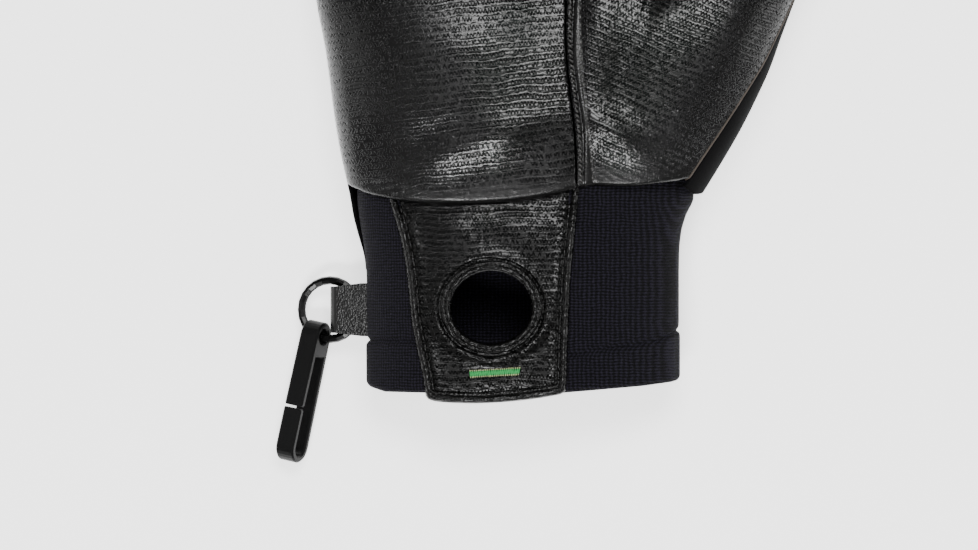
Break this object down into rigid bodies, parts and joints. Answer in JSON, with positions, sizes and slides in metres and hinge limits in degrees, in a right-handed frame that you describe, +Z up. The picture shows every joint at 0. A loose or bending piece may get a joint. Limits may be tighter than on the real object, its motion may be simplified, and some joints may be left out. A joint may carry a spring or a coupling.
{
  "type": "climbing glove",
  "caption": "Full-finger leather glove for the right hand with a soft-shell back, a knitted cuff with a holed leather tab, and a small clip hook on a ring.",
  "frame": {"origin": "on the floor under the wrist, on the flat of the back fabric, where the palm leather ends above it", "axes": "+X towards the thumb's side, +Y towards the fingertips, +Z up out of the palm"},
  "size_m": [0.1643, 0.2611, 0.035],
  "materials": {
    "leather": "black embossed leather, satin",
    "softshell": "matt black soft-shell fabric",
    "knit": "fine elastic knit, blue-black",
    "thread": "green satin stitch",
    "ring": "gloss black",
    "hook": "satin black moulded plastic"
  },
  "bodies": {
    "root": {"palm_panel": "leather", "thumb_panel": "leather", "back_shell": "softshell", "cuff": "knit", "wrist_tab": "leather", "hole_binding": "leather", "bar_tack": "thread", "strap_loop": "leather", "ring": "ring", "clip_hook": "hook"}
  },
  "joints": []
}
